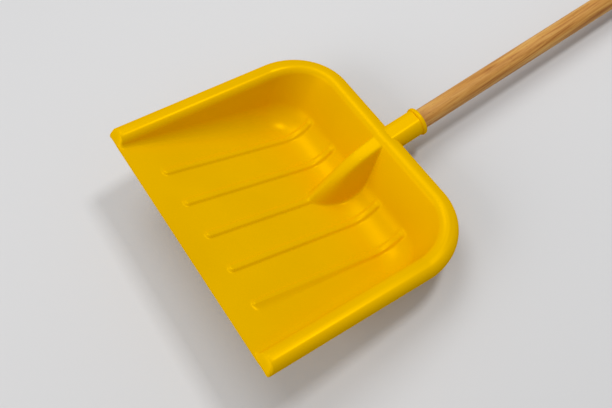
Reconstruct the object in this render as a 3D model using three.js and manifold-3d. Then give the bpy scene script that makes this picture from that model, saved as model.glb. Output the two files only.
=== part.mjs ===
// Children's snow shovel: a moulded plastic scoop with a rolled rim, stiffening ribs and a tapered handle socket,
// a turned wooden handle, and the screw that holds the handle in the socket.
// Millimetres, +Z up. The shovel lies as it does on a floor, on the heel of its scoop and the end of its handle,
// with the blade's front edge towards -Y. The origin is the middle of its footprint.
import * as THREE from "three";
import { mergeVertices } from "three/addons/utils/BufferGeometryUtils.js";
import Module from "manifold-3d";

const wasm = await Module();
wasm.setup();

const deg = THREE.MathUtils.degToRad;

// Driving dimensions of the scoop, in its own frame: x across, y from the front edge to the back, z above the floor.
const BLADE_WIDTH = 300;
const BLADE_LENGTH = 239.5;
const CORNER_RADIUS = 65;
const FRONT_CORNER_RADIUS = 2.5;
const SHEET = 2.5;

// The rolled rim: an upside-down channel round three sides, low at the front and high at the back.
const RIM_FRONT_HEIGHT = 9.9;
const RIM_RISE = deg(15.75);
const RIM_WIDTH = 21.5;
const RIM_OUTER_RADIUS = 9;
const RIM_INNER_RADIUS = 10;
const RIM_SKIRT = 12.4;
const RIM_NOSE_LENGTH = 4;
const RIM_NOSE_HEIGHT = 0.5;

// The walls between the floor and the rim. The cove at their foot grows with their height, and the floor's back
// corners keep a small radius of their own.
const WALL_SLOPE = deg(80);
const LEAST_COVE_RADIUS = 6;
const FLOOR_CORNER_RADIUS = 1.5;

// The stiffening ribs, raised on top and hollow below.
const RIB_COUNT = 5;
const RIB_PITCH = 42.1;
const RIB_WIDTH = 10.5;
const RIB_HEIGHT = 2.3;
const RIB_FRONT_GAP = 25;
const RIB_CLIMB = deg(75);
const RIB_FADE = 11;

// The handle and its taper. The axis climbs from the floor and crosses the back of the rim at AXIS_HEIGHT.
const HANDLE_DIAMETER = 22;
const HANDLE_LENGTH = 765;
const HANDLE_SLOPE = deg(27.6);
const AXIS_HEIGHT = 69.5;
const TAPER_LENGTH = 72;
const TAPER_END_DIAMETER = 12.6;
const HANDLE_CLEARANCE = 0.3;

// The socket: a round tube behind the scoop, with a flat along its top and a round lip at its mouth.
const SOCKET_REACH = 34.9;
const SOCKET_WALL = 2.7;
const TUBE_ROOT = 8;
const TUBE_FLAT_HEIGHT = 12.2;
const TUBE_FLAT_RISE = 0.027;
const LIP_LENGTH = 4.4;
const LIP_STEP = 1.7;
const CUP_WALL = 2;
const INSERTION = 77.7;

// The hump: the socket's roof inside the scoop. Its flat top falls faster than the tube's, its flanks have draft, and
// its blunt nose falls more steeply still and is rounded in plan.
const ROOF_HEIGHT = 13.66;
const ROOF_RISE = 0.126;
const ROOF_HALF_WIDTH = 7.8;
const ROOF_FLARE = 0.0114;
const ROOF_EDGE = 0.7;
const HUMP_DRAFT = deg(16);
const HUMP_REACH = 89.5;
const HUMP_NOSE_LENGTH = 43;
const HUMP_NOSE_BLEND = 5;
const HUMP_NOSE_DRAFT = deg(11.5);
const HUMP_NOSE_HALF_WIDTH = 10.5;
const HUMP_NOSE_EDGE = 9;
const HUMP_NOSE_PLAN_RADIUS = 13;

// The screw that holds the handle, driven from below.
const SCREW_FROM_MOUTH = 11;
const SCREW_LENGTH = 16;
const SCREW_SHANK_DIAMETER = 3.5;
const SCREW_HEAD_DIAMETER = 7;
const SCREW_HEAD_HEIGHT = 2.4;
const SCREW_TIP_LENGTH = 4;
const SCREW_SEAT_DEPTH = 0.8;
const SCREW_CLEARANCE = 0.3;

// How finely curves are drawn.
const SIDE_STATIONS = 6;
const NOSE_STATIONS = 6;
const CORNER_STATIONS = 9;
const BACK_STATIONS = 3;
const OUTER_ARC_STEPS = 6;
const INNER_ARC_STEPS = 5;
const COVE_STEPS = 8;
const RIB_ARC_STEPS = 8;
const ROUND_STEPS = 40;

// Lengths that follow from the driving dimensions.
const HALF_WIDTH = BLADE_WIDTH / 2;
const LAND_END = RIM_WIDTH - RIM_INNER_RADIUS;
const STRIP_DEPTH = CORNER_RADIUS - FLOOR_CORNER_RADIUS;
const BACK_RIM_HEIGHT = rimLine(BLADE_LENGTH);
const BACK_COVE_RADIUS = coveRadiusToReach(STRIP_DEPTH - FLOOR_CORNER_RADIUS);
const COVE_START = BLADE_LENGTH - coveFoot(BACK_RIM_HEIGHT, BACK_COVE_RADIUS, WALL_SLOPE);
const HANDLE_RADIUS = HANDLE_DIAMETER / 2;
const TUBE_RADIUS = HANDLE_RADIUS + HANDLE_CLEARANCE + SOCKET_WALL;
const HANDLE_TIP = SOCKET_REACH - INSERTION;
const HANDLE_END = HANDLE_TIP + HANDLE_LENGTH;
const SCREW_STATION = SOCKET_REACH - SCREW_FROM_MOUTH;
const HUMP_FRONT = BLADE_LENGTH - HUMP_REACH;
const HUMP_NOSE_END = HUMP_FRONT + HUMP_NOSE_LENGTH;

// Height of the rim's crest above the floor, as a straight line from front to back.
function rimLine(y) {
  return RIM_FRONT_HEIGHT + Math.tan(RIM_RISE) * y;
}

// The crest as built: the same line, with its front end rounded down to the front edge.
function rimHeight(y) {
  const along = Math.min(1, y / RIM_NOSE_LENGTH);
  const share = Math.sin((along * Math.PI) / 2);
  return RIM_NOSE_HEIGHT + (rimLine(y) - RIM_NOSE_HEIGHT) * share;
}

// How far inside the outline the cove meets the floor, for a wall of this height, cove radius and slope.
function coveFoot(height, cove, slope) {
  const straight = height - (RIM_INNER_RADIUS + cove) * (1 - Math.cos(slope));
  return LAND_END + (RIM_INNER_RADIUS + cove) * Math.sin(slope) + straight / Math.tan(slope);
}

// The cove radius that puts the back wall's foot at this distance inside the outline.
function coveRadiusToReach(foot) {
  const height = rimLine(BLADE_LENGTH);
  const perRadius = coveFoot(height, 1, WALL_SLOPE) - coveFoot(height, 0, WALL_SLOPE);
  return (foot - coveFoot(height, 0, WALL_SLOPE)) / perRadius;
}

// Cross-section of the rim and wall at one place, from the skirt's edge over the crest and down to the floor, as pairs
// of distance inside the outline and height. An offset of SHEET gives the underside.
function wallProfile(y, offset) {
  const crest = rimHeight(y);
  const skirtEdge = rimLine(y) - RIM_SKIRT;
  const outer = Math.min(RIM_OUTER_RADIUS, (crest - skirtEdge) * 0.9);
  const cove = Math.max(LEAST_COVE_RADIUS, (BACK_COVE_RADIUS * crest) / BACK_RIM_HEIGHT);
  const fullTurn = (RIM_INNER_RADIUS + cove) * (1 - Math.cos(WALL_SLOPE));
  const leastStraight = Math.min(crest * 0.1, 1);
  const slope =
    fullTurn + leastStraight < crest
      ? WALL_SLOPE
      : Math.acos(1 - (crest - leastStraight) / (RIM_INNER_RADIUS + cove));
  const foot = coveFoot(crest, cove, slope);
  const points = [new THREE.Vector2(offset, skirtEdge)];
  for (let k = 0; k <= OUTER_ARC_STEPS; k++) {
    const a = ((k / OUTER_ARC_STEPS) * Math.PI) / 2;
    const r = outer - offset;
    points.push(new THREE.Vector2(outer - r * Math.cos(a), crest - outer + r * Math.sin(a)));
  }
  for (let k = 0; k <= INNER_ARC_STEPS; k++) {
    const a = (k / INNER_ARC_STEPS) * slope;
    const r = RIM_INNER_RADIUS - offset;
    points.push(new THREE.Vector2(LAND_END + r * Math.sin(a), crest - RIM_INNER_RADIUS + r * Math.cos(a)));
  }
  for (let k = COVE_STEPS; k >= 0; k--) {
    const a = (k / COVE_STEPS) * slope;
    const r = cove + offset;
    points.push(new THREE.Vector2(foot - r * Math.sin(a), cove - r * Math.cos(a)));
  }
  points.push(new THREE.Vector2(STRIP_DEPTH, -offset));
  return points;
}

// How far the outline's rounded front corner stands in from its side.
function frontInset(y) {
  const short = Math.max(0, FRONT_CORNER_RADIUS - y);
  return FRONT_CORNER_RADIUS - Math.sqrt(FRONT_CORNER_RADIUS ** 2 - short ** 2);
}

// Places along the blade's outline, from the left front corner round the back to the right front corner. Each has its
// point on the outline and the direction that leads inwards.
function outlineStations() {
  const sideEnd = BLADE_LENGTH - CORNER_RADIUS;
  const sideY = [];
  for (let k = 0; k < NOSE_STATIONS; k++) {
    sideY.push(RIM_NOSE_LENGTH * (1 - Math.cos(((k / NOSE_STATIONS) * Math.PI) / 2)));
  }
  for (let k = 0; k < SIDE_STATIONS; k++) {
    sideY.push(RIM_NOSE_LENGTH + ((sideEnd - RIM_NOSE_LENGTH) * k) / SIDE_STATIONS);
  }
  const left = sideY.map((y) => ({
    at: new THREE.Vector2(frontInset(y) - HALF_WIDTH, y),
    inward: new THREE.Vector2(1, 0),
  }));
  for (let k = 0; k <= CORNER_STATIONS; k++) {
    const a = ((k / CORNER_STATIONS) * Math.PI) / 2;
    const inward = new THREE.Vector2(Math.cos(a), -Math.sin(a));
    const centre = new THREE.Vector2(CORNER_RADIUS - HALF_WIDTH, sideEnd);
    left.push({ at: centre.addScaledVector(inward, -CORNER_RADIUS), inward });
  }
  const back = [];
  for (let k = 1; k < BACK_STATIONS; k++) {
    const x = (k / BACK_STATIONS - 0.5) * (BLADE_WIDTH - 2 * CORNER_RADIUS);
    back.push({ at: new THREE.Vector2(x, BLADE_LENGTH), inward: new THREE.Vector2(0, -1) });
  }
  const mirrored = left.map(({ at, inward }) => ({
    at: new THREE.Vector2(-at.x, at.y),
    inward: new THREE.Vector2(-inward.x, inward.y),
  }));
  return [...left, ...back, ...mirrored.reverse()];
}

// Rows of points of one surface of the scoop, a row for each station. The first points of a row can be left out, and
// raise moves every point to one height, for the lid of the space inside the scoop.
function surfaceRows(offset, skip = 0, raise = null) {
  return outlineStations().map(({ at, inward }) =>
    wallProfile(at.y, offset)
      .slice(skip)
      .map((p) => new THREE.Vector3(at.x + inward.x * p.x, at.y + inward.y * p.x, raise ?? p.y)),
  );
}

// Closed geometry between an upper and a lower surface with the same rows. The rows' last points bound the floor.
function sheetGeometry(upper, lower) {
  const rows = upper.length;
  const columns = upper[0].length;
  const points = [...upper.flat(), ...lower.flat()];
  const top = (i, j) => i * columns + j;
  const under = (i, j) => rows * columns + top(i, j);
  const faces = [];
  const quad = (a, b, c, d) => faces.push([a, b, c], [a, c, d]);
  for (let i = 0; i + 1 < rows; i++) {
    for (let j = 0; j + 1 < columns; j++) {
      quad(top(i, j), top(i, j + 1), top(i + 1, j + 1), top(i + 1, j));
      quad(under(i, j), under(i + 1, j), under(i + 1, j + 1), under(i, j + 1));
    }
    quad(top(i, 0), top(i + 1, 0), under(i + 1, 0), under(i, 0));
  }
  const inner = [];
  for (let i = rows - 1; i >= 0; i--) inner.push(i);
  const contour = inner.map((i) => new THREE.Vector2(upper[i].at(-1).x, upper[i].at(-1).y));
  for (const [a, b, c] of THREE.ShapeUtils.triangulateShape(contour, [])) {
    const [i, j, k] = [inner[a], inner[b], inner[c]];
    faces.push([top(i, columns - 1), top(j, columns - 1), top(k, columns - 1)]);
    faces.push([under(i, columns - 1), under(k, columns - 1), under(j, columns - 1)]);
  }
  const front = [];
  for (let j = 0; j < columns; j++) front.push([0, j]);
  for (let j = columns - 1; j >= 0; j--) front.push([rows - 1, j]);
  for (let k = 0; k + 1 < front.length; k++) {
    quad(under(...front[k]), under(...front[k + 1]), top(...front[k + 1]), top(...front[k]));
  }
  return indexedGeometry(points, faces);
}

function indexedGeometry(points, faces) {
  return new THREE.BufferGeometry().setFromPoints(points).setIndex(faces.flat());
}

// Closed geometry through convex rings that each have the same number of points, with flat ends. Seen from the last
// ring, the points run anticlockwise.
function loftGeometry(rings) {
  const count = rings[0].length;
  const faces = [];
  for (let i = 0; i + 1 < rings.length; i++) {
    for (let j = 0; j < count; j++) {
      const next = (j + 1) % count;
      const [a, b] = [i * count + j, i * count + next];
      faces.push([a, b, b + count], [a, b + count, a + count]);
    }
  }
  const last = (rings.length - 1) * count;
  for (let j = 1; j + 1 < count; j++) {
    faces.push([0, j + 1, j], [last, last + j, last + j + 1]);
  }
  return indexedGeometry(rings.flat(), faces);
}

// A closed geometry as a solid that can be joined and cut.
function solid(geometry) {
  const bare = geometry.clone();
  bare.deleteAttribute("normal");
  bare.deleteAttribute("uv");
  const merged = mergeVertices(bare, 1e-4);
  return new wasm.Manifold(
    new wasm.Mesh({
      numProp: 3,
      vertProperties: new Float32Array(merged.attributes.position.array),
      triVerts: new Uint32Array(merged.index.array),
    }),
  );
}

// A solid's surface as a geometry for a mesh.
function surfaceOf(body) {
  const mesh = body.getMesh();
  const geometry = new THREE.BufferGeometry();
  geometry.setAttribute("position", new THREE.BufferAttribute(mesh.vertProperties, 3));
  geometry.setIndex(new THREE.BufferAttribute(mesh.triVerts, 1));
  geometry.computeVertexNormals();
  return geometry;
}

// One rib as a loft along the floor and up the back cove. The hollow below it has the same line, one sheet lower.
function ribGeometry(x, endClimb, halfWidth, height, depth, root) {
  const radius = BACK_COVE_RADIUS + depth;
  const flat = COVE_START - RIB_FRONT_GAP;
  const total = flat + BACK_COVE_RADIUS * endClimb;
  const along = [0.02, 0.15, 0.4, 0.7, 1].map((t) => t * (RIB_WIDTH / 2));
  along.push(flat / 2, flat);
  for (let k = 1; k <= RIB_ARC_STEPS; k++) along.push(flat + (BACK_COVE_RADIUS * endClimb * k) / RIB_ARC_STEPS);
  const rings = along.map((s) => {
    const fromEnd = Math.max(0, 1 - s / (RIB_WIDTH / 2));
    const fade = Math.min(1, (total - s) / RIB_FADE + 0.02);
    const rounded = Math.sqrt(1 - fromEnd * fromEnd);
    const climb = Math.max(0, s - flat) / BACK_COVE_RADIUS;
    const base = new THREE.Vector3(
      x,
      RIB_FRONT_GAP + Math.min(s, flat) + radius * Math.sin(climb),
      BACK_COVE_RADIUS - radius * Math.cos(climb),
    );
    const normal = new THREE.Vector3(0, -Math.sin(climb), Math.cos(climb));
    const outline = [
      [-1, -root],
      [-0.86, 0.12 * height],
      [-0.58, 0.74 * height],
      [-0.26, height],
      [0.26, height],
      [0.58, 0.74 * height],
      [0.86, 0.12 * height],
      [1, -root],
    ];
    return outline.map(([across, up]) =>
      base
        .clone()
        .addScaledVector(normal, up > 0 ? up * rounded * fade : up)
        .setX(x + across * halfWidth * rounded),
    );
  });
  return loftGeometry(rings);
}

// A point in the scoop's frame from the socket's own: x across, up from the handle's axis, and along the axis from
// where it crosses the back of the rim.
function socketPoint(x, up, along) {
  return new THREE.Vector3(
    x,
    BLADE_LENGTH + along * Math.cos(HANDLE_SLOPE) - up * Math.sin(HANDLE_SLOPE),
    AXIS_HEIGHT + along * Math.sin(HANDLE_SLOPE) + up * Math.cos(HANDLE_SLOPE),
  );
}

// Half-width and height above the axis of the hump's flat roof. It never stands higher than the flat on the tube.
function roofAlong(along) {
  const height = Math.min(ROOF_HEIGHT + ROOF_RISE * along, TUBE_FLAT_HEIGHT + TUBE_FLAT_RISE * along);
  return { half: ROOF_HALF_WIDTH + ROOF_FLARE * along, height };
}

// The roof at one distance from the front edge: its half-width, and its height above the scoop's floor.
function roofAt(y) {
  const lines = [
    [ROOF_HEIGHT, ROOF_RISE],
    [TUBE_FLAT_HEIGHT, TUBE_FLAT_RISE],
  ];
  const found = lines.map(([height, rise]) => {
    const reach = y - BLADE_LENGTH + height * Math.sin(HANDLE_SLOPE);
    const along = reach / (Math.cos(HANDLE_SLOPE) - rise * Math.sin(HANDLE_SLOPE));
    const { z } = socketPoint(0, height + rise * along, along);
    return { half: ROOF_HALF_WIDTH + ROOF_FLARE * along, height: z };
  });
  return found[0].height < found[1].height ? found[0] : found[1];
}

// Ring round the tube: a circle about the axis, cut off by the flat along its top.
function tubeRing(along, radius) {
  const flat = TUBE_FLAT_HEIGHT + TUBE_FLAT_RISE * along;
  const from = Math.acos(Math.min(0.999, flat / radius));
  const ring = [];
  for (let k = 0; k <= ROUND_STEPS; k++) {
    const a = from + ((2 * Math.PI - 2 * from) * k) / ROUND_STEPS;
    ring.push(socketPoint(radius * Math.sin(a), radius * Math.cos(a), along));
  }
  return ring;
}

// Ring round the cup under the hump: a circle about the axis, drawn up by its tangents into the roof's sheet.
function cupRing(along, radius) {
  const roof = roofAlong(along);
  const inset = 0.8 * CUP_WALL;
  const corner = new THREE.Vector2(roof.half - inset, roof.height - inset);
  const tangent = Math.atan2(corner.x, corner.y) + Math.acos(Math.min(1, radius / corner.length()));
  const right = [corner];
  const half = ROUND_STEPS / 2;
  for (let k = 0; k < half; k++) {
    const a = tangent + ((Math.PI - tangent) * k) / half;
    right.push(new THREE.Vector2(radius * Math.sin(a), radius * Math.cos(a)));
  }
  const left = right.map((p) => new THREE.Vector2(-p.x, p.y)).reverse();
  const bottom = new THREE.Vector2(0, -radius);
  return [...right, bottom, ...left].map((p) => socketPoint(p.x, p.y, along));
}

// Half-width of the hump's top at one distance from the front edge, and the softness of the top's edges.
function humpTop(y, thickness) {
  const forward = THREE.MathUtils.smoothstep(HUMP_NOSE_END - y, 0, HUMP_NOSE_LENGTH);
  const half = THREE.MathUtils.lerp(roofAt(y).half, HUMP_NOSE_HALF_WIDTH, forward);
  return {
    half: half - thickness * Math.tan(deg(45) - HUMP_DRAFT / 2),
    edge: THREE.MathUtils.lerp(ROOF_EDGE, HUMP_NOSE_EDGE, forward),
    draft: THREE.MathUtils.lerp(HUMP_DRAFT, HUMP_NOSE_DRAFT, forward),
  };
}

// Height of the hump above the floor: the lower of its roof and its nose, less the drop down its flanks. Thickness
// draws it in all round for the hollow underneath.
function humpHeight(x, y, thickness) {
  const { half, edge, draft } = humpTop(y, thickness);
  const roof = roofAt(y).height - thickness / Math.cos(HANDLE_SLOPE);
  const noseSlope = roofAt(HUMP_NOSE_END).height / HUMP_NOSE_LENGTH;
  const nose = noseSlope * (y - HUMP_FRONT - thickness - x ** 2 / (2 * HUMP_NOSE_PLAN_RADIUS));
  const lower = (roof + nose - Math.hypot(roof - nose, HUMP_NOSE_BLEND)) / 2;
  const beyond = (away) => (away - half + Math.hypot(away - half, edge)) / 2;
  return lower - (beyond(x) - beyond(0)) / Math.tan(draft);
}

// Ring across the hump, with flanks that run down through the floor.
function humpRing(y, thickness) {
  const bottom = -2 * SHEET;
  let [inside, outside] = [0, BLADE_WIDTH];
  for (let k = 0; k < 50; k++) {
    const middle = (inside + outside) / 2;
    if (humpHeight(middle, y, thickness) > bottom) inside = middle;
    else outside = middle;
  }
  const { half, edge } = humpTop(y, thickness);
  const turn = Math.min(half + edge, inside * 0.7);
  const shares = [0.25, 0.6, 0.8, 0.9, 1].map((t) => t * turn);
  const flank = [0.2, 0.45, 0.7, 1].map((t) => THREE.MathUtils.lerp(turn, inside, t));
  const right = [...shares, ...flank].map((x) => new THREE.Vector3(x, y, humpHeight(x, y, thickness)));
  const left = right.map((p) => new THREE.Vector3(-p.x, p.y, p.z)).reverse();
  return [...right, ...left];
}

function humpGeometry(thickness, back) {
  const front = HUMP_FRONT + thickness;
  const places = [0, 0.04, 0.1, 0.2, 0.34, 0.5, 0.68, 0.84, 1].map((t) => front + (HUMP_NOSE_END - front) * t);
  places.push((HUMP_NOSE_END + back) / 2, back);
  return loftGeometry(places.map((y) => humpRing(y, thickness)));
}

// A turned shape about the handle's axis, from pairs of radius and distance along it.
function turnedOnAxis(profile, steps = ROUND_STEPS) {
  const geometry = new THREE.LatheGeometry(
    profile.map(([r, along]) => new THREE.Vector2(r, along)),
    steps,
  );
  geometry.rotateX(HANDLE_SLOPE);
  geometry.translate(0, BLADE_LENGTH, AXIS_HEIGHT);
  return geometry;
}

// The handle's radius where its taper reaches, grown all over by a clearance or a wall.
function taperRadius(along, grow) {
  const share = Math.min(1, (along - HANDLE_TIP) / TAPER_LENGTH);
  return (TAPER_END_DIAMETER + (HANDLE_DIAMETER - TAPER_END_DIAMETER) * share) / 2 + grow;
}

// The hole the handle sits in, open at the socket's mouth.
function boreGeometry() {
  const end = HANDLE_TIP - HANDLE_CLEARANCE;
  const taperTop = HANDLE_TIP + TAPER_LENGTH;
  const past = SOCKET_REACH + LIP_LENGTH;
  return turnedOnAxis([
    [0, end],
    [taperRadius(HANDLE_TIP, HANDLE_CLEARANCE), end],
    [taperRadius(taperTop, HANDLE_CLEARANCE), taperTop],
    [HANDLE_RADIUS + HANDLE_CLEARANCE, past],
    [0, past],
  ]);
}

// The blind cup under the hump that takes the handle's taper, joined to the hump's roof along its length.
function cupGeometry() {
  const grow = HANDLE_CLEARANCE + CUP_WALL;
  const end = HANDLE_TIP - grow;
  const root = CUP_WALL - TUBE_ROOT;
  return loftGeometry([
    cupRing(end, taperRadius(HANDLE_TIP, grow)),
    cupRing(root, taperRadius(root, grow)),
  ]);
}

// A round shape square to the handle's axis and below it, where the screw goes in.
function turnedOnScrew(profile, steps = 20) {
  const geometry = new THREE.LatheGeometry(
    profile.map(([r, up]) => new THREE.Vector2(r, up)),
    steps,
  );
  geometry.rotateX(Math.PI / 2 + HANDLE_SLOPE);
  const at = socketPoint(0, 0, SCREW_STATION);
  geometry.translate(at.x, at.y, at.z);
  return geometry;
}

const screwSeat = SCREW_SEAT_DEPTH - TUBE_RADIUS;

function screwHoleGeometry() {
  const shank = SCREW_SHANK_DIAMETER / 2 + SCREW_CLEARANCE;
  const head = SCREW_HEAD_DIAMETER / 2 + SCREW_CLEARANCE;
  const outside = -TUBE_RADIUS - SCREW_HEAD_HEIGHT;
  return turnedOnScrew([
    [0, outside],
    [head, outside],
    [head, screwSeat],
    [shank, screwSeat],
    [shank, screwSeat + SCREW_LENGTH - SCREW_TIP_LENGTH],
    [0, screwSeat + SCREW_LENGTH + SCREW_CLEARANCE],
  ]);
}

function screwGeometry() {
  const shank = SCREW_SHANK_DIAMETER / 2;
  const head = SCREW_HEAD_DIAMETER / 2;
  const under = screwSeat - SCREW_CLEARANCE;
  return turnedOnScrew([
    [0, under - SCREW_HEAD_HEIGHT],
    [head * 0.6, under - SCREW_HEAD_HEIGHT * 0.9],
    [head * 0.92, under - SCREW_HEAD_HEIGHT * 0.55],
    [head, under - SCREW_HEAD_HEIGHT * 0.2],
    [head, under],
    [shank, under],
    [shank, under + SCREW_LENGTH - SCREW_TIP_LENGTH],
    [0, under + SCREW_LENGTH],
  ]);
}

// The handle: a long cylinder with a tapered front end and a domed back end.
function handleGeometry() {
  const profile = [
    [0, HANDLE_TIP],
    [taperRadius(HANDLE_TIP, 0) - 1, HANDLE_TIP],
    [taperRadius(HANDLE_TIP, 0), HANDLE_TIP + 1],
    [HANDLE_RADIUS, HANDLE_TIP + TAPER_LENGTH],
  ];
  const domeSteps = 8;
  for (let k = 0; k <= domeSteps; k++) {
    const a = ((k / domeSteps) * Math.PI) / 2;
    const radius = k === domeSteps ? 0 : HANDLE_RADIUS * Math.cos(a);
    profile.push([radius, HANDLE_END - HANDLE_RADIUS + HANDLE_RADIUS * Math.sin(a)]);
  }
  return turnedOnAxis(profile);
}

// The scoop in one piece: its sheet, ribs, hump and socket, less the hollows below and the handle's hole.
function bladeGeometry() {
  let body = solid(sheetGeometry(surfaceRows(0), surfaceRows(SHEET)));
  const lid = 2 * (AXIS_HEIGHT + BACK_RIM_HEIGHT);
  const rimPoints = OUTER_ARC_STEPS + 2;
  const inside = solid(
    sheetGeometry(surfaceRows(SHEET / 2, rimPoints, lid), surfaceRows(SHEET / 2, rimPoints)),
  );
  const middle = (RIB_COUNT - 1) / 2;
  const hollows = [];
  for (let k = 0; k < RIB_COUNT; k++) {
    const x = (k - middle) * RIB_PITCH;
    const climb = RIB_CLIMB;
    body = body.add(solid(ribGeometry(x, climb, RIB_WIDTH / 2, RIB_HEIGHT, 0, SHEET / 2)));
    hollows.push(ribGeometry(x, climb, (RIB_WIDTH - SHEET) / 2, RIB_HEIGHT, SHEET, SHEET));
  }
  for (const hollow of hollows) body = body.subtract(solid(hollow));
  body = body.add(solid(humpGeometry(0, BLADE_LENGTH - LAND_END)).intersect(inside));
  body = body.subtract(solid(humpGeometry(SHEET, BLADE_LENGTH - RIM_WIDTH - SHEET)));
  const tube = loftGeometry([tubeRing(-TUBE_ROOT, TUBE_RADIUS), tubeRing(SOCKET_REACH, TUBE_RADIUS)]);
  const lip = turnedOnAxis([
    [0, SOCKET_REACH - LIP_LENGTH - LIP_STEP / 2],
    [TUBE_RADIUS - SOCKET_WALL / 2, SOCKET_REACH - LIP_LENGTH - LIP_STEP / 2],
    [TUBE_RADIUS + LIP_STEP * 0.6, SOCKET_REACH - LIP_LENGTH],
    [TUBE_RADIUS + LIP_STEP, SOCKET_REACH - LIP_LENGTH * 0.75],
    [TUBE_RADIUS + LIP_STEP, SOCKET_REACH - LIP_LENGTH * 0.3],
    [TUBE_RADIUS + LIP_STEP * 0.6, SOCKET_REACH],
    [0, SOCKET_REACH],
  ]);
  body = body.add(solid(tube)).add(solid(lip)).add(solid(cupGeometry()));
  return surfaceOf(body.subtract(solid(boreGeometry())).subtract(solid(screwHoleGeometry())));
}

// The lean that brings the heel's curve and the handle's domed end down to one floor.
function lyingTilt() {
  const heelRadius = BACK_COVE_RADIUS + SHEET;
  const dome = socketPoint(0, 0, HANDLE_END - HANDLE_RADIUS);
  const dy = dome.y - COVE_START;
  const dz = dome.z - BACK_COVE_RADIUS;
  return Math.atan2(dz, dy) + Math.asin((heelRadius - HANDLE_RADIUS) / Math.hypot(dy, dz));
}

const plastic = new THREE.MeshStandardMaterial({ color: 0xf0b400, roughness: 0.38, metalness: 0 });
const beech = new THREE.MeshStandardMaterial({ color: 0xc8924f, roughness: 0.6, metalness: 0 });
const zinc = new THREE.MeshStandardMaterial({ color: 0xb9bdc2, roughness: 0.35, metalness: 1 });

function named(name, geometry, material) {
  const mesh = new THREE.Mesh(geometry, material);
  mesh.name = name;
  return mesh;
}

const handle = surfaceOf(solid(handleGeometry()).subtract(solid(screwHoleGeometry())));
const lying = new THREE.Group();
lying.add(
  named("blade", bladeGeometry(), plastic),
  named("handle", handle, beech),
  named("handle_screw", screwGeometry(), zinc),
);
lying.rotation.x = -lyingTilt();

// The heel's lowest line comes to z = 0, and the footprint's middle to the origin.
const shovel = new THREE.Group();
shovel.add(lying);
shovel.updateMatrixWorld(true);
const box = new THREE.Box3().setFromObject(shovel, true);
lying.position.set(0, -(box.min.y + box.max.y) / 2, -box.min.z);

export default shovel;
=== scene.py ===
"""Children's snow shovel: a moulded scoop on a turned wooden handle, lying on a pale studio floor."""

import logging
import math
from dataclasses import dataclass, field
from enum import Enum
from typing import Any

import bpy
import numpy as np
from mathutils import Matrix, Quaternion, Vector


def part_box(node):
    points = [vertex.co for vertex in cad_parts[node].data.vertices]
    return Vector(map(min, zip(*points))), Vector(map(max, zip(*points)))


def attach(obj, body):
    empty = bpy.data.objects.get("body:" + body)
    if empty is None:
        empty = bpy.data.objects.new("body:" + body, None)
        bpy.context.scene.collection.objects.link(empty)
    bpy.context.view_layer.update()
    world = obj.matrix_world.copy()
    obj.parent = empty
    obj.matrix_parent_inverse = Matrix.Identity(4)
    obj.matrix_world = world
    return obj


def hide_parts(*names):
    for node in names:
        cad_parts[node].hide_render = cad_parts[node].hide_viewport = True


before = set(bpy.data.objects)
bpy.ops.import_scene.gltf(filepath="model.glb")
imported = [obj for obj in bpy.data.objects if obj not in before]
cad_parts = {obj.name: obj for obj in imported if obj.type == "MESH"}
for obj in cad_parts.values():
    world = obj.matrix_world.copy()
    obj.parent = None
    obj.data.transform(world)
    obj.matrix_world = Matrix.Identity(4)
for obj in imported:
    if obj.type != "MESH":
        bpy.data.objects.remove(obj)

LOG = logging.getLogger("snow_shovel")
MM = 0.001
BODY = "root"


class Finish(Enum):
    """The finishes that pieces of the shovel can have."""

    POLYPROPYLENE = "moulded polypropylene"
    BEECH = "turned beech"
    ZINC = "zinc plate"


def linear(hex_colour: str) -> tuple[float, float, float, float]:
    """Turn an sRGB hex colour into linear light.

    Args:
        hex_colour: Six hex digits, with or without a leading #.

    Returns:
        Linear red, green and blue, with an alpha of 1.
    """
    digits = hex_colour.lstrip("#")
    channels = [int(digits[i : i + 2], 16) / 255 for i in (0, 2, 4)]
    red, green, blue = [c / 12.92 if c <= 0.04045 else ((c + 0.055) / 1.055) ** 2.4 for c in channels]
    return red, green, blue, 1.0


def add_node(
    tree: bpy.types.NodeTree, kind: str, settings: dict[str, Any], links: dict[str, Any]
) -> bpy.types.Node:
    """Add a node, set its properties and sockets, and link its inputs.

    Args:
        tree: The node tree to add to.
        kind: The node's type name.
        settings: Property names, or input socket names, with their values.
        links: Input socket names with the output sockets that feed them.

    Returns:
        The new node.
    """
    node = tree.nodes.new(kind)
    for name, value in settings.items():
        if hasattr(node, name):
            setattr(node, name, value)
        else:
            node.inputs[name].default_value = value
    for name, source in links.items():
        tree.links.new(source, node.inputs[name])
    return node


def colour_ramp(node: bpy.types.Node, stops: list[tuple[float, str]]) -> None:
    """Set a colour ramp's stops.

    Args:
        node: The colour ramp node.
        stops: Pairs of position and sRGB hex colour.
    """
    elements = node.color_ramp.elements
    while len(elements) < len(stops):
        elements.new(0.5)
    for element, (position, colour) in zip(elements, stops):
        element.position = position
        element.color = linear(colour)


def smooth_step(low: float, high: float, value: np.ndarray) -> np.ndarray:
    """Rise smoothly from 0 at low to 1 at high."""
    t = np.clip((value - low) / (high - low), 0.0, 1.0)
    return t * t * (3 - 2 * t)


def soft_max(a: np.ndarray, b: np.ndarray, blend: np.ndarray | float) -> np.ndarray:
    """Take the larger of two heights, with a fillet of about this size where they meet."""
    return (a + b + np.sqrt((a - b) ** 2 + blend**2)) / 2


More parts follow.
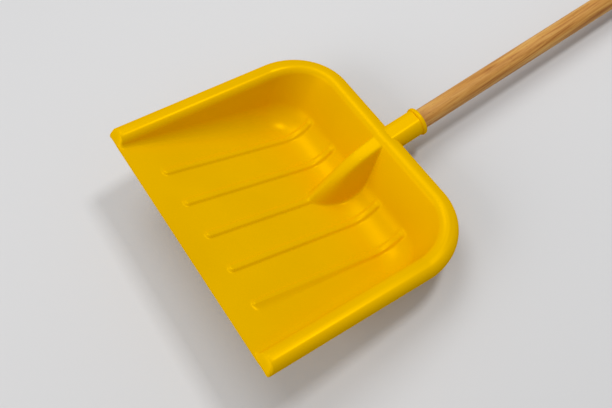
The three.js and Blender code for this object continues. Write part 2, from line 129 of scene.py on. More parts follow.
@dataclass(frozen=True)
class MouldedPolypropylene:
    """Semi-gloss yellow polypropylene from a fine-textured mould.

    To the eye that gives soft highlights with a slightly grainy edge.
    """

    colour: str = "#E8B400"
    flow_colour: str = "#E4B000"
    # A small metallic share gives the gloss the plastic's own yellow at every angle, as on the object.
    gloss: float = 0.08
    gloss_tint: str = "#FFD800"
    roughness: float = 0.32
    flow_mm: float = 90.0
    # The mould's spark texture is far finer than this. It is drawn as coarse as it needs to be to show.
    grain_mm: float = 1.1
    grain_depth_mm: float = 0.02
    grain_strength: float = 0.12

    def material(self) -> bpy.types.Material:
        """Build the plastic's material."""
        material = bpy.data.materials.new(Finish.POLYPROPYLENE.value)
        material.use_nodes = True
        tree = material.node_tree
        shader = tree.nodes["Principled BSDF"]
        shader.inputs["Metallic"].default_value = self.gloss
        shader.inputs["Specular IOR Level"].default_value = 0.0
        shader.inputs["Specular Tint"].default_value = linear(self.gloss_tint)
        place = add_node(tree, "ShaderNodeTexCoord", {}, {}).outputs["Object"]
        flow = add_node(
            tree,
            "ShaderNodeTexNoise",
            {"Scale": 1 / (self.flow_mm * MM), "Detail": 3.0, "Roughness": 0.5},
            {"Vector": place},
        )
        ramp = add_node(tree, "ShaderNodeValToRGB", {}, {"Fac": flow.outputs["Fac"]})
        colour_ramp(ramp, [(0.35, self.flow_colour), (0.65, self.colour)])
        tree.links.new(ramp.outputs["Color"], shader.inputs["Base Color"])
        grain = add_node(
            tree,
            "ShaderNodeTexNoise",
            {"Scale": 1 / (self.grain_mm * MM), "Detail": 2.0, "Roughness": 0.6},
            {"Vector": place},
        )
        dulled = add_node(
            tree,
            "ShaderNodeMapRange",
            {"To Min": self.roughness - 0.05, "To Max": self.roughness + 0.07},
            {"Value": flow.outputs["Fac"]},
        )
        tree.links.new(dulled.outputs["Result"], shader.inputs["Roughness"])
        bump = add_node(
            tree,
            "ShaderNodeBump",
            {"Strength": self.grain_strength, "Distance": self.grain_depth_mm * MM},
            {"Height": grain.outputs["Fac"]},
        )
        tree.links.new(bump.outputs["Normal"], shader.inputs["Normal"])
        return material


@dataclass(frozen=True)
class TurnedBeech:
    """Beech turned on a lathe and lightly oiled.

    To the eye that gives fine straight grain, short dark ray flecks and a dull sheen.
    """

    pale: str = "#D2A257"
    middle: str = "#C08840"
    dark: str = "#9F6528"
    fleck: str = "#6E4016"
    sheen: float = 0.25
    roughness: float = 0.55
    ior: float = 1.48
    band_mm: float = 5.0
    fibre_mm: float = 0.9
    fleck_mm: float = 2.2
    stretch: float = 28.0
    fleck_squeeze: float = 0.22
    fibre_share: float = 0.3
    fleck_core: float = 0.06
    fleck_edge: float = 0.18
    fleck_depth: float = 0.4
    relief_mm: float = 0.08
    relief_strength: float = 0.3

    def material(self) -> bpy.types.Material:
        """Build the wood's material, with its grain along Y."""
        material = bpy.data.materials.new(Finish.BEECH.value)
        material.use_nodes = True
        tree = material.node_tree
        shader = tree.nodes["Principled BSDF"]
        shader.inputs["IOR"].default_value = self.ior
        shader.inputs["Specular IOR Level"].default_value = self.sheen
        place = add_node(tree, "ShaderNodeTexCoord", {}, {}).outputs["Object"]
        along = add_node(
            tree, "ShaderNodeMapping", {"Scale": (1.0, 1 / self.stretch, 1.0)}, {"Vector": place}
        ).outputs["Vector"]
        bands = add_node(
            tree,
            "ShaderNodeTexNoise",
            {"Scale": 1 / (self.band_mm * MM), "Detail": 3.0, "Distortion": 0.6},
            {"Vector": along},
        )
        fibres = add_node(
            tree,
            "ShaderNodeTexNoise",
            {"Scale": 1 / (self.fibre_mm * MM), "Detail": 4.0, "Roughness": 0.65},
            {"Vector": along},
        )
        mixed = add_node(tree, "ShaderNodeMix", {"data_type": "FLOAT", "Factor": self.fibre_share}, {})
        tree.links.new(bands.outputs["Fac"], mixed.inputs[2])
        tree.links.new(fibres.outputs["Fac"], mixed.inputs[3])
        grain = add_node(tree, "ShaderNodeValToRGB", {}, {"Fac": mixed.outputs[0]})
        colour_ramp(grain, [(0.36, self.dark), (0.5, self.middle), (0.64, self.pale)])
        short = add_node(
            tree, "ShaderNodeMapping", {"Scale": (1.0, self.fleck_squeeze, 1.0)}, {"Vector": place}
        ).outputs["Vector"]
        rays = add_node(
            tree,
            "ShaderNodeTexVoronoi",
            {"Scale": 1 / (self.fleck_mm * MM), "Randomness": 1.0},
            {"Vector": short},
        )
        flecks = add_node(
            tree,
            "ShaderNodeMapRange",
            {
                "From Min": self.fleck_core,
                "From Max": self.fleck_edge,
                "To Min": self.fleck_depth,
                "To Max": 0.0,
            },
            {"Value": rays.outputs["Distance"]},
        )
        colour = add_node(
            tree, "ShaderNodeMix", {"data_type": "RGBA"}, {"Factor": flecks.outputs["Result"]}
        )
        tree.links.new(grain.outputs["Color"], colour.inputs[6])
        colour.inputs[7].default_value = linear(self.fleck)
        tree.links.new(colour.outputs[2], shader.inputs["Base Color"])
        dulled = add_node(
            tree,
            "ShaderNodeMapRange",
            {"To Min": self.roughness - 0.08, "To Max": self.roughness + 0.12},
            {"Value": fibres.outputs["Fac"]},
        )
        tree.links.new(dulled.outputs["Result"], shader.inputs["Roughness"])
        bump = add_node(
            tree,
            "ShaderNodeBump",
            {"Strength": self.relief_strength, "Distance": self.relief_mm * MM},
            {"Height": mixed.outputs[0]},
        )
        tree.links.new(bump.outputs["Normal"], shader.inputs["Normal"])
        return material


@dataclass(frozen=True)
class ZincPlate:
    """Bright zinc on steel: a cool grey metal with a faint cloudy mottle."""

    colour: str = "#C9CCD1"
    shade: str = "#AEB2B8"
    roughness: float = 0.32
    mottle_mm: float = 1.5

    def material(self) -> bpy.types.Material:
        """Build the plated steel's material."""
        material = bpy.data.materials.new(Finish.ZINC.value)
        material.use_nodes = True
        tree = material.node_tree
        shader = tree.nodes["Principled BSDF"]
        shader.inputs["Metallic"].default_value = 1.0
        place = add_node(tree, "ShaderNodeTexCoord", {}, {}).outputs["Object"]
        mottle = add_node(
            tree,
            "ShaderNodeTexNoise",
            {"Scale": 1 / (self.mottle_mm * MM), "Detail": 2.0},
            {"Vector": place},
        )
        ramp = add_node(tree, "ShaderNodeValToRGB", {}, {"Fac": mottle.outputs["Fac"]})
        colour_ramp(ramp, [(0.35, self.shade), (0.65, self.colour)])
        tree.links.new(ramp.outputs["Color"], shader.inputs["Base Color"])
        dulled = add_node(
            tree,
            "ShaderNodeMapRange",
            {"To Min": self.roughness - 0.06, "To Max": self.roughness + 0.1},
            {"Value": mottle.outputs["Fac"]},
        )
        tree.links.new(dulled.outputs["Result"], shader.inputs["Roughness"])
        return material


@dataclass
class MeshParts:
    """Points and faces gathered from several surfaces of one piece."""

    points: list[np.ndarray] = field(default_factory=list)
    faces: list[tuple[int, ...]] = field(default_factory=list)
    count: int = 0

    def add(self, points: np.ndarray, faces: list[tuple[int, ...]]) -> None:
        """Add one surface, whose faces number its own points from 0."""
        self.points.append(points.reshape(-1, 3))
        self.faces += [tuple(i + self.count for i in face) for face in faces]
        self.count += len(self.points[-1])

    def grid(self, rows: np.ndarray, flip: bool = False, closed: bool = False) -> None:
        """Add a grid of points as quads.

        Args:
            rows: An array of rows by columns by 3.
            flip: Whether the faces turn the other way round.
            closed: Whether each row joins up with its own start.
        """
        count, width = rows.shape[:2]
        faces = []
        for i in range(count - 1):
            for j in range(width if closed else width - 1):
                k = (j + 1) % width
                quad = (i * width + j, i * width + k, (i + 1) * width + k, (i + 1) * width + j)
                faces.append(quad[::-1] if flip else quad)
        self.add(rows, faces)

    def cap(self, ring: np.ndarray, flip: bool = False) -> None:
        """Close a ring of points with one flat face."""
        face = tuple(range(len(ring)))
        self.add(ring, [face[::-1] if flip else face])

    def build(self, name: str, weld_mm: float, sharp_deg: float) -> bpy.types.Object:
        """Make one welded, smooth-shaded object.

        Args:
            name: The object's name.
            weld_mm: Points closer than this become one.
            sharp_deg: Edges sharper than this keep a crisp line.

        Returns:
            The object, linked to the scene.
        """
        mesh = bpy.data.meshes.new(name)
        mesh.from_pydata((np.concatenate(self.points) * MM).tolist(), [], self.faces)
        piece = bpy.data.objects.new(name, mesh)
        bpy.context.collection.objects.link(piece)
        weld = piece.modifiers.new("weld", "WELD")
        weld.merge_threshold = weld_mm * MM
        evaluated = piece.evaluated_get(bpy.context.evaluated_depsgraph_get())
        welded = bpy.data.meshes.new_from_object(evaluated)
        piece.modifiers.clear()
        piece.data = welded
        bpy.data.meshes.remove(mesh)
        welded.name = name
        welded.shade_smooth()
        welded.set_sharp_from_angle(angle=math.radians(sharp_deg))
        return piece


@dataclass
class SocketLine:
    """The handle's axis, and the flats along the tube's top and the hump's, in the scoop's own frame.

    The frame's x runs across the scoop, y from its front edge to its back, and z up from its floor.
    Sizes are in millimetres.
    """

    blade_length: float = 239.5
    axis_height: float = 69.5
    slope: float = math.radians(27.6)
    reach: float = 34.9
    insertion: float = 77.7
    handle_diameter: float = 22.0
    handle_length: float = 765.0
    taper_length: float = 72.0
    taper_end_diameter: float = 12.6
    clearance: float = 0.3
    tube_flat_height: float = 12.2
    tube_flat_rise: float = 0.027
    roof_height: float = 13.66
    roof_rise: float = 0.126
    roof_half_width: float = 7.8
    roof_flare: float = 0.0114
    roof_blend: float = 0.6

    @property
    def tip(self) -> float:
        """Where the handle's tapered end lies along the axis."""
        return self.reach - self.insertion

    @property
    def end(self) -> float:
        """Where the handle's free end lies along the axis."""
        return self.tip + self.handle_length

    def points(self, x: np.ndarray, up: np.ndarray, along: np.ndarray | float) -> np.ndarray:
        """Turn places about the axis into points of the scoop's frame.

        Args:
            x: Distances across.
            up: Distances up from the axis, square to it.
            along: Distances along the axis from where it crosses the back of the rim.

        Returns:
            An array whose last axis is x, y and z.
        """
        x, up, along = np.broadcast_arrays(x, up, along)
        y = self.blade_length + along * math.cos(self.slope) - up * math.sin(self.slope)
        z = self.axis_height + along * math.sin(self.slope) + up * math.cos(self.slope)
        return np.stack([x, y, z], axis=-1)

    def taper_radius(self, along: float) -> float:
        """Give the handle's radius at a place along the axis."""
        share = min(1.0, (along - self.tip) / self.taper_length)
        return (self.taper_end_diameter + (self.handle_diameter - self.taper_end_diameter) * share) / 2

    def tube_ring(self, along: float, radius: float, lift: float, edge: float, steps: int) -> np.ndarray:
        """Draw a ring round the tube: a circle about the axis, cut off by the flat along its top.

        Args:
            along: Distance along the axis.
            radius: The circle's radius.
            lift: How far the flat stands above its own line. The lip has it high enough to be round.
            edge: How softly the flat's edges are rounded.
            steps: Points round the ring.

        Returns:
            The ring's points, clockwise seen from the handle.
        """
        angle = np.linspace(0, 2 * math.pi, steps, endpoint=False)
        flat = self.tube_flat_height + self.tube_flat_rise * along + lift
        cut = flat / np.maximum(np.cos(angle), 0.2)
        reach = -soft_max(-cut, np.full(steps, -radius), edge)
        return self.points(reach * np.sin(angle), reach * np.cos(angle), along)

    def cup_ring(self, along: float, radius: float, inset: float, steps: int) -> np.ndarray:
        """Draw a ring round the cup: a circle about the axis, drawn up by its tangents into the roof.

        Args:
            along: Distance along the axis.
            radius: The circle's radius.
            inset: How far the ring stands in from the roof's outside.
            steps: Points on each side of the circle.

        Returns:
            The ring's points, clockwise seen from the handle.
        """
        half = self.roof_half_width + self.roof_flare * along - inset
        tube_flat = self.tube_flat_height + self.tube_flat_rise * along
        height = min(self.roof_height + self.roof_rise * along, tube_flat) - inset
        tangent = math.atan2(half, height) + math.acos(min(1.0, radius / math.hypot(half, height)))
        sweep = np.linspace(tangent, math.pi, steps)
        circle = radius * np.stack([np.sin(sweep), np.cos(sweep)], axis=-1)
        right = np.concatenate([[[half, height]], circle])
        loop = np.concatenate([right, (right * np.array([-1.0, 1.0]))[:-1][::-1]])
        return self.points(loop[:, 0], loop[:, 1], along)

    def roof(self, y: np.ndarray) -> tuple[np.ndarray, np.ndarray]:
        """Give the hump's roof at these distances from the front edge.

        Args:
            y: Distances from the front edge.

        Returns:
            The roof's half-width and its height above the scoop's floor.
        """
        sine, cosine = math.sin(self.slope), math.cos(self.slope)
        heights = []
        flats = ((self.tube_flat_height, self.tube_flat_rise), (self.roof_height, self.roof_rise))
        for height, rise in flats:
            along = (y - self.blade_length + height * sine) / (cosine - rise * sine)
            heights.append(self.axis_height + along * sine + (height + rise * along) * cosine)
        # The half-width follows the roof's own line, which is the last of the two.
        half = self.roof_half_width + self.roof_flare * along
        return half, -soft_max(-heights[0], -heights[1], self.roof_blend)


@dataclass
class ScoopMoulding:
    """The one-piece plastic scoop: floor, ribs, rolled rim, hump and handle socket, in millimetres."""

    line: SocketLine
    finish: MouldedPolypropylene
    width: float = 300.0
    corner_radius: float = 65.0
    front_corner_radius: float = 2.5
    sheet: float = 2.5
    rim_front_height: float = 9.9
    rim_rise: float = math.radians(15.75)
    rim_width: float = 21.5
    rim_outer_radius: float = 9.0
    rim_inner_radius: float = 10.0
    rim_skirt: float = 12.4
    rim_nose_length: float = 4.1
    rim_nose_height: float = 0.5
    wall_slope: float = math.radians(80)
    least_cove_radius: float = 6.0
    floor_corner_radius: float = 1.5
    rib_count: int = 5
    rib_pitch: float = 42.1
    rib_width: float = 10.5
    rib_height: float = 2.3
    rib_front_gap: float = 25.0
    rib_climb: float = math.radians(75)
    rib_fade: float = 11.0
    socket_wall: float = 2.7
    cup_wall: float = 2.0
    tube_root: float = 8.0
    lip_length: float = 4.4
    lip_step: float = 1.7
    hump_draft: float = math.radians(16)
    hump_reach: float = 89.5
    hump_nose_length: float = 43.0
    hump_nose_blend: float = 5.0
    hump_nose_draft: float = math.radians(11.5)
    hump_nose_half_width: float = 10.5
    hump_nose_plan_radius: float = 13.0
    hump_edge: float = 0.7
    hump_nose_edge: float = 9.0
    hump_fillet: float = 3.0
    hump_fillet_run: float = 12.0
    bore_shown: float = 12.0
    tube_flat_edge: float = 0.35
    lip_flat_lift: float = 3.0
    # How finely curves are drawn.
    skirt_steps: int = 5
    outer_steps: int = 15
    inner_steps: int = 17
    wall_steps: int = 12
    cove_steps: int = 29
    floor_steps: int = 11
    corner_steps: int = 41
    tube_steps: int = 160
    lip_steps: int = 19
    cup_steps: int = 41

    @property
    def length(self) -> float:
        """The scoop's length, which the handle's line is measured from."""
        return self.line.blade_length

    def rim_line(self, y: float) -> float:
        """Give the crest's height as a straight line from front to back."""
        return self.rim_front_height + math.tan(self.rim_rise) * y

    def rim_height(self, y: float) -> float:
        """Give the crest's height with its front end rounded down to the front edge."""
        share = math.sin(min(1.0, y / self.rim_nose_length) * math.pi / 2)
        return self.rim_nose_height + (self.rim_line(y) - self.rim_nose_height) * share

    def front_inset(self, y: float) -> float:
        """Give how far the outline's rounded front corner stands in from its side."""
        short = max(0.0, self.front_corner_radius - y)
        return self.front_corner_radius - math.sqrt(self.front_corner_radius**2 - short**2)

    @property
    def land_end(self) -> float:
        """How far inside the outline the crest starts to turn down."""
        return self.rim_width - self.rim_inner_radius

    def cove_foot(self, height: float, cove: float, slope: float) -> float:
        """Give how far inside the outline the cove meets the floor."""
        turned = self.rim_inner_radius + cove
        straight = height - turned * (1 - math.cos(slope))
        return self.land_end + turned * math.sin(slope) + straight / math.tan(slope)

    @property
    def back_cove_radius(self) -> float:
        """The cove radius at the back, which brings the foot just short of the corners' centres."""
        height = self.rim_line(self.length)
        none = self.cove_foot(height, 0.0, self.wall_slope)
        per_radius = self.cove_foot(height, 1.0, self.wall_slope) - none
        return (self.corner_radius - 2 * self.floor_corner_radius - none) / per_radius

    @property
    def cove_start(self) -> float:
        """Where the floor starts to climb towards the back."""
        foot = self.cove_foot(self.rim_line(self.length), self.back_cove_radius, self.wall_slope)
        return self.length - foot

    def profile(self, y: float, offset: float, inset: float) -> tuple[np.ndarray, np.ndarray]:
        """Draw the rim and wall's cross-section from the skirt's edge to the floor.

        Args:
            y: Where along the scoop the crest's height is taken.
            offset: 0 for the upper side, the sheet's thickness for the underside.
            inset: How far the outline stands in here from its straight side.

        Returns:
            Points as distance inside the outline and height, and the upper side's normals.
        """
        crest = self.rim_height(y)
        edge = self.rim_line(y) - self.rim_skirt
        outer = min(self.rim_outer_radius, (crest - edge) * 0.9)
        back = self.rim_line(self.length)
        cove = max(self.least_cove_radius, self.back_cove_radius * crest / back)
        least = min(crest * 0.1, 1.0)
        turned = self.rim_inner_radius + cove
        slope = self.wall_slope
        if turned * (1 - math.cos(slope)) + least >= crest:
            slope = math.acos(1 - (crest - least) / turned)
        foot = self.cove_foot(crest, cove, slope)
        skirt_height = np.linspace(edge, crest - outer, self.skirt_steps + 1)[:-1]
        skirt = np.stack([np.full(self.skirt_steps, offset), skirt_height], axis=-1)
        skirt_normal = np.tile([-1.0, 0.0], (self.skirt_steps, 1))
        a = np.linspace(0, math.pi / 2, self.outer_steps)
        outer_normal = np.stack([-np.cos(a), np.sin(a)], axis=-1)
        outer_arc = np.array([outer, crest - outer]) + (outer - offset) * outer_normal
        a = np.linspace(0, slope, self.inner_steps)
        inner_normal = np.stack([np.sin(a), np.cos(a)], axis=-1)
        inner_centre = np.array([self.land_end, crest - self.rim_inner_radius])
        inner_arc = inner_centre + (self.rim_inner_radius - offset) * inner_normal
        a = np.linspace(slope, 0, self.cove_steps)
        cove_normal = np.stack([np.sin(a), np.cos(a)], axis=-1)
        cove_arc = np.array([foot, cove]) - (cove + offset) * cove_normal
        share = np.linspace(0, 1, self.wall_steps + 2)[1:-1, None]
        wall = inner_arc[-1] + (cove_arc[0] - inner_arc[-1]) * share
        wall_normal = np.tile(cove_normal[0], (self.wall_steps, 1))
        spread = np.linspace(0, 1, self.floor_steps + 1)[1:]
        floor_end = self.corner_radius - inset
        floor_height = np.full(self.floor_steps, -offset)
        floor = np.stack([foot + (floor_end - foot) * spread, floor_height], axis=-1)
        floor_normal = np.tile([0.0, 1.0], (self.floor_steps, 1))
        points = np.concatenate([skirt, outer_arc, inner_arc, wall, cove_arc, floor])
        normals = np.concatenate(
            [skirt_normal, outer_normal, inner_normal, wall_normal, cove_normal, floor_normal]
        )
        return points, normals

    def side_places(self) -> np.ndarray:
        """List y along one side, close together at the rim's nose, the ribs' front ends and the hump."""
        rib_near = self.rib_front_gap - 1
        rib_far = self.rib_front_gap + 11
        hump_near = self.length - self.hump_reach - 10
        side_end = self.length - self.corner_radius
        return np.concatenate(
            [
                self.rim_nose_length * (1 - np.cos(np.linspace(0, math.pi / 2, 25)))[:-1],
                np.linspace(self.rim_nose_length, rib_near, 8)[:-1],
                np.linspace(rib_near, rib_far, 13)[:-1],
                np.linspace(rib_far, hump_near, 36)[:-1],
                np.linspace(hump_near, side_end, 25),
            ]
        )

    def back_places(self) -> np.ndarray:
        """List x across the back, about a millimetre apart."""
        half = self.width / 2 - self.corner_radius
        return np.linspace(-half, half, round(2 * half) + 1)

    def stations(self) -> tuple[np.ndarray, np.ndarray]:
        """List places along the outline, from the left front corner round the back to the right front.

        Returns:
            Points on the outline and the directions that lead inwards.
        """
        y = self.side_places()
        inset = np.array([self.front_inset(place) for place in y])
        left = np.stack([inset - self.width / 2, y], axis=-1)
        a = np.linspace(0, math.pi / 2, self.corner_steps)[1:-1]
        turned = np.stack([np.cos(a), -np.sin(a)], axis=-1)
        centre = np.array([self.corner_radius - self.width / 2, self.length - self.corner_radius])
        corner = centre - self.corner_radius * turned
        x = self.back_places()
        back = np.stack([x, np.full_like(x, self.length)], axis=-1)
        mirror = np.array([-1.0, 1.0])
        points = np.concatenate([left, corner, back, corner[::-1] * mirror, left[::-1] * mirror])
        inward = np.concatenate(
            [
                np.tile([1.0, 0.0], (len(y), 1)),
                turned,
                np.tile([0.0, -1.0], (len(x), 1)),
                turned[::-1] * mirror,
                np.tile([-1.0, 0.0], (len(y), 1)),
            ]
        )
        return points, inward

    def rib_lift(self, x: np.ndarray, y: np.ndarray, half_width: float) -> np.ndarray:
        """Give how far the ribs stand up from the sheet at these places."""
        lift = np.zeros_like(x)
        front = self.rib_front_gap + self.rib_width / 2
        back = self.cove_start + self.back_cove_radius * math.sin(self.rib_climb)
        fade = 1 - smooth_step(back - self.rib_fade * math.cos(self.rib_climb), back, y)
        for k in range(self.rib_count):
            centre = (k - (self.rib_count - 1) / 2) * self.rib_pitch
            away = np.hypot(x - centre, np.maximum(0.0, front - y)) / half_width
            lift = np.maximum(lift, self.rib_height * (1 - smooth_step(0.4, 1.0, away)) * fade)
        return lift

    def hump_height(self, x: np.ndarray, y: np.ndarray, thickness: float) -> np.ndarray:
        """Give the height of the socket's hump over the floor.

        Args:
            x: Distances across.
            y: Distances from the front edge.
            thickness: 0 for the hump, the sheet's thickness for the hollow under it.

        Returns:
            Heights above the floor, far below it where there is no hump.
        """
        front = self.length - self.hump_reach
        nose_end = front + self.hump_nose_length
        half, roof = self.line.roof(y)
        forward = smooth_step(0.0, self.hump_nose_length, nose_end - y)
        half = half + (self.hump_nose_half_width - half) * forward
        half = half - thickness * math.tan(math.pi / 4 - self.hump_draft / 2)
        edge = self.hump_edge + (self.hump_nose_edge - self.hump_edge) * forward
        draft = self.hump_draft + (self.hump_nose_draft - self.hump_draft) * forward
        nose_slope = float(self.line.roof(np.array(nose_end))[1]) / self.hump_nose_length
        nose = nose_slope * (y - front - thickness - x**2 / (2 * self.hump_nose_plan_radius))
        lower = -soft_max(thickness / math.cos(self.line.slope) - roof, -nose, self.hump_nose_blend)
        flat = np.zeros_like(half)
        drop = soft_max(np.abs(x) - half, flat, edge) - soft_max(-half, flat, edge)
        return np.maximum(lower - drop / np.tan(draft), -1e3)

    def surface(self, offset: float) -> tuple[np.ndarray, np.ndarray]:
        """Shape one side of the sheet.

        Args:
            offset: 0 for the upper side, the sheet's thickness for the underside.

        Returns:
            The rim and walls as rows of points, and the middle of the floor as another grid.
        """
        rib_half = (self.rib_width - offset) / 2
        points, inward = self.stations()
        rows = []
        for at, inwards in zip(points, inward):
            section, normal = self.profile(float(at[1]), offset, self.front_inset(float(at[1])))
            xy = at + inwards * section[:, :1]
            row = np.column_stack([xy, section[:, 1]])
            # The ribs and the hump start inside the rim's crest.
            inside = section[:, 0] > self.land_end
            lift = self.rib_lift(row[:, 0], row[:, 1], rib_half) * inside
            row[:, :2] += inwards * normal[:, :1] * lift[:, None]
            row[:, 2] += normal[:, 1] * lift
            full = self.land_end + self.hump_fillet_run
            blend = self.hump_fillet * smooth_step(self.land_end, full, section[:, 0])
            hump = soft_max(row[:, 2], self.hump_height(row[:, 0], row[:, 1], offset), blend)
            row[:, 2] = np.where(inside, hump, row[:, 2])
            rows.append(row)
        x, y = np.meshgrid(self.back_places(), self.side_places())
        z = self.rib_lift(x, y, rib_half) - offset
        z = soft_max(z, self.hump_height(x, y, offset), self.hump_fillet)
        return np.array(rows), np.stack([x, y, z], axis=-1)

    def add_sheet(self, parts: MeshParts) -> None:
        """Add the sheet of the scoop: both sides, the skirt's edge and the front edge."""
        upper, upper_floor = self.surface(0.0)
        lower, lower_floor = self.surface(self.sheet)
        parts.grid(upper, flip=True)
        parts.grid(upper_floor)
        parts.grid(lower)
        parts.grid(lower_floor, flip=True)
        parts.grid(np.stack([upper[:, 0], lower[:, 0]], axis=1))
        front_upper = np.concatenate([upper[0], upper_floor[0], upper[-1][::-1]])
        front_lower = np.concatenate([lower[0], lower_floor[0], lower[-1][::-1]])
        parts.grid(np.stack([front_lower, front_upper], axis=0))

    def add_socket(self, parts: MeshParts) -> None:
        """Add the socket: its tube, the lip round its mouth, its hole, and the cup under the hump."""
        line = self.line
        bore = line.handle_diameter / 2 + line.clearance
        tube = bore + self.socket_wall
        mouth = line.reach
        lip = mouth - self.lip_length
        step = self.lip_step
        places = [(-self.tube_root, tube, 0.0), (lip - step * 0.6, tube, 0.0)]
        for a in np.linspace(0, math.pi, self.lip_steps):
            share = math.sin(a) ** 0.75
            along = (lip + mouth) / 2 - (mouth - lip) / 2 * math.cos(a)
            places.append((along, tube + step * share, self.lip_flat_lift * min(1.0, 1.5 * share)))
        rings = np.array([line.tube_ring(*at, self.tube_flat_edge, self.tube_steps) for at in places])
        parts.grid(rings, flip=True, closed=True)
        parts.cap(rings[0])
        angle = np.linspace(0, 2 * math.pi, self.tube_steps, endpoint=False)
        circle = line.points(bore * np.sin(angle), bore * np.cos(angle), mouth)
        deep = line.points(bore * np.sin(angle), bore * np.cos(angle), mouth - self.bore_shown)
        parts.grid(np.stack([rings[-1], circle, deep]), flip=True, closed=True)
        grow = line.clearance + self.cup_wall
        root = self.cup_wall - self.tube_root
        cup = [line.tip - grow, line.tip - grow + 1.0, root]
        radii = [line.taper_radius(line.tip) + grow - 1.0, line.taper_radius(line.tip) + grow]
        radii.append(line.taper_radius(root) + grow)
        inset = 0.8 * self.cup_wall
        cup_rings = np.array([line.cup_ring(s, r, inset, self.cup_steps) for s, r in zip(cup, radii)])
        parts.grid(cup_rings, flip=True, closed=True)
        parts.cap(cup_rings[0])

    def build(self, place: Matrix) -> bpy.types.Object:
        """Build and dress the scoop.

        Args:
            place: From the scoop's own frame to the row's.

        Returns:
            The finished piece, which stands for the CAD blade.
        """
        parts = MeshParts()
        self.add_sheet(parts)
        self.add_socket(parts)
        piece = parts.build("scoop", weld_mm=0.004, sharp_deg=48)
        piece.data.transform(place)
        piece.data.materials.append(self.finish.material())
        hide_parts("blade")
        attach(piece, BODY)
        return piece


@dataclass
class WoodenHandle:
    """The turned handle, with a tapered end in the socket and a domed free end. Sizes are in millimetres."""

    line: SocketLine
    finish: TurnedBeech
    rounds: int = 96
    straight_steps: int = 24
    dome_steps: int = 20
    tip_chamfer: float = 1.0

    def build(self, place: Matrix) -> bpy.types.Object:
        """Build and dress the handle.

        Args:
            place: From the scoop's own frame to the row's.

        Returns:
            The finished piece, which stands for the CAD handle.
        """
        line = self.line
        radius = line.handle_diameter / 2
        tip = line.taper_radius(line.tip)
        taper_end = line.tip + line.taper_length
        profile = [
            (tip - self.tip_chamfer, line.tip),
            (tip, line.tip + self.tip_chamfer),
            (radius, taper_end),
        ]
        straight = line.end - radius - taper_end
        for k in range(1, self.straight_steps):
            profile.append((radius, taper_end + straight * k / self.straight_steps))
        for k in range(self.dome_steps):
            a = k / self.dome_steps * math.pi / 2
            profile.append((radius * math.cos(a), line.end - radius + radius * math.sin(a)))
        a = np.linspace(0, 2 * math.pi, self.rounds, endpoint=False)
        rings = np.array([line.points(r * np.sin(a), r * np.cos(a), s) for r, s in profile])
        parts = MeshParts()
        parts.grid(rings, closed=True)
        parts.cap(rings[0], flip=True)
        parts.cap(rings[-1])
        piece = parts.build("wooden_handle", weld_mm=0.002, sharp_deg=40)
        piece.data.transform(place)
        piece.data.materials.append(self.finish.material())
        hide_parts("handle")
        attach(piece, BODY)
        return piece


@dataclass(frozen=True)
class SoftLight:
    """One square soft light, with its place and its side in metres and its power in watts."""

    name: str
    at: tuple[float, float, float]
    size: float
    watts: float
    colour: str = "#FFFFFF"


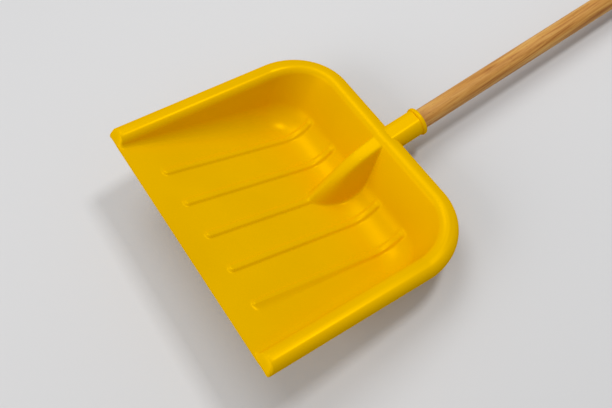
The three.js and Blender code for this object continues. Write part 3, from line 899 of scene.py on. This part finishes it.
@dataclass
class Studio:
    """The floor, the lights and the camera. Lengths are in millimetres, apart from the lights'."""

    floor_colour: str = "#D3D3D4"
    floor_roughness: float = 0.85
    floor_sheen: float = 0.2
    floor_size: float = 9000.0
    sky_colour: str = "#FFFFFF"
    sky_strength: float = 0.36
    # The lights' places and their aim are given in the row's frame, in metres.
    lights_to: tuple[float, float, float] = (0.0, -0.33, 0.03)
    lights: tuple[SoftLight, ...] = (
        SoftLight("key", (-0.03, 0.49, 1.62), 0.3, 11.0),
        SoftLight("overhead", (-0.95, -0.15, 1.8), 1.0, 12.0),
        SoftLight("front", (-0.2, -2.1, 1.0), 1.4, 16.0),
    )
    # The camera's place, aim and roll are given in the scoop's own frame.
    camera_at: tuple[float, float, float] = (310.8, -296.2, 534.6)
    camera_to: tuple[float, float, float] = (25.59, 114.99, 40.0)
    camera_roll: float = math.radians(26.44)
    focal_px: float = 728.3
    image_width_px: float = 612.0
    sensor: float = 36.0

    def floor_material(self) -> bpy.types.Material:
        """Build the matt paint of the studio's floor, pale and even."""
        material = bpy.data.materials.new("matt studio paint")
        material.use_nodes = True
        tree = material.node_tree
        shader = tree.nodes["Principled BSDF"]
        shader.inputs["Base Color"].default_value = linear(self.floor_colour)
        shader.inputs["Roughness"].default_value = self.floor_roughness
        shader.inputs["Specular IOR Level"].default_value = self.floor_sheen
        return material

    def build_floor(self) -> None:
        """Lay the floor under the shovel."""
        half = self.floor_size / 2 * MM
        mesh = bpy.data.meshes.new("floor")
        corners = [(-half, -half, 0), (half, -half, 0), (half, half, 0), (-half, half, 0)]
        mesh.from_pydata(corners, [], [(0, 1, 2, 3)])
        mesh.materials.append(self.floor_material())
        floor = bpy.data.objects.new("floor", mesh)
        bpy.context.collection.objects.link(floor)

    def add_light(self, light: SoftLight) -> None:
        """Hang one soft light and point it at the scoop.

        Args:
            light: The light to hang.
        """
        lamp = bpy.data.lights.new(light.name, "AREA")
        lamp.shape = "SQUARE"
        lamp.size = light.size
        lamp.energy = light.watts
        lamp.color = linear(light.colour)[:3]
        hung = bpy.data.objects.new(light.name, lamp)
        at = Vector(light.at)
        hung.location = at
        hung.rotation_euler = (Vector(self.lights_to) - at).to_track_quat("-Z", "Y").to_euler()
        bpy.context.collection.objects.link(hung)

    def build_lights(self) -> None:
        """Light the scene with an even sky and the soft lights."""
        world = bpy.data.worlds.new("studio") if not bpy.data.worlds else bpy.data.worlds[0]
        bpy.context.scene.world = world
        world.use_nodes = True
        background = world.node_tree.nodes["Background"]
        background.inputs["Color"].default_value = linear(self.sky_colour)
        background.inputs["Strength"].default_value = self.sky_strength
        for light in self.lights:
            self.add_light(light)

    def build_camera(self, place: Matrix) -> None:
        """Set the camera where the photograph was taken from.

        Args:
            place: From the scoop's own frame to the row's.
        """
        camera = bpy.data.cameras.new("camera")
        camera.sensor_width = self.sensor
        camera.lens = self.sensor * self.focal_px / self.image_width_px
        camera.clip_start = 0.01
        camera.clip_end = 50.0
        holder = bpy.data.objects.new("camera", camera)
        at = Vector(self.camera_at) * MM
        to = Vector(self.camera_to) * MM
        aim = (to - at).to_track_quat("-Z", "Y")
        turned = aim @ Quaternion((0.0, 0.0, 1.0), self.camera_roll)
        holder.matrix_world = place @ Matrix.LocRotScale(at, turned, None)
        bpy.context.collection.objects.link(holder)
        bpy.context.scene.camera = holder

    def build(self, place: Matrix) -> None:
        """Build the whole studio.

        Args:
            place: From the scoop's own frame to the row's.
        """
        bpy.context.scene.view_settings.view_transform = "Standard"
        self.build_camera(place)
        self.build_floor()
        self.build_lights()


def lying_place(scoop: ScoopMoulding) -> Matrix:
    """Work out how the scoop's own frame lies in the row's frame.

    Args:
        scoop: The scoop, whose heel and handle's end rest on the floor.

    Returns:
        The matrix from the scoop's frame to the row's, in metres.
    """
    line = scoop.line
    radius = line.handle_diameter / 2
    dome = line.points(np.array(0.0), np.array(0.0), line.end - radius)
    heel = scoop.back_cove_radius + scoop.sheet
    dy = dome[1] - scoop.cove_start
    dz = dome[2] - scoop.back_cove_radius
    tilt = math.atan2(dz, dy) + math.asin((heel - radius) / math.hypot(dy, dz))
    turn = Matrix.Rotation(-tilt, 4, "X")
    centre = turn @ Vector((0.0, scoop.cove_start, scoop.back_cove_radius))
    skirt = turn @ Vector((0.0, 0.0, min(-scoop.sheet, scoop.rim_line(0.0) - scoop.rim_skirt)))
    low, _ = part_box("blade")
    shift = Vector((0.0, low[1] - skirt.y * MM, (heel - centre.z) * MM))
    return Matrix.Translation(shift) @ turn


def dress_screw(finish: ZincPlate) -> bpy.types.Object:
    """Give the CAD screw its plated finish.

    Args:
        finish: The plating.

    Returns:
        The screw.
    """
    screw = bpy.data.objects["handle_screw"]
    screw.data.materials.clear()
    screw.data.materials.append(finish.material())
    return screw


def main() -> None:
    """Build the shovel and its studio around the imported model."""
    logging.basicConfig(level=logging.INFO, format="%(message)s")
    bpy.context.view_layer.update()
    line = SocketLine()
    scoop = ScoopMoulding(line, MouldedPolypropylene())
    place = lying_place(scoop)
    Studio().build(place)
    pieces = [
        scoop.build(place),
        WoodenHandle(line, TurnedBeech()).build(place),
        dress_screw(ZincPlate()),
    ]
    for piece in pieces:
        LOG.info("%s: %d faces", piece.name, len(piece.data.polygons))


if __name__ == "__main__":
    main()
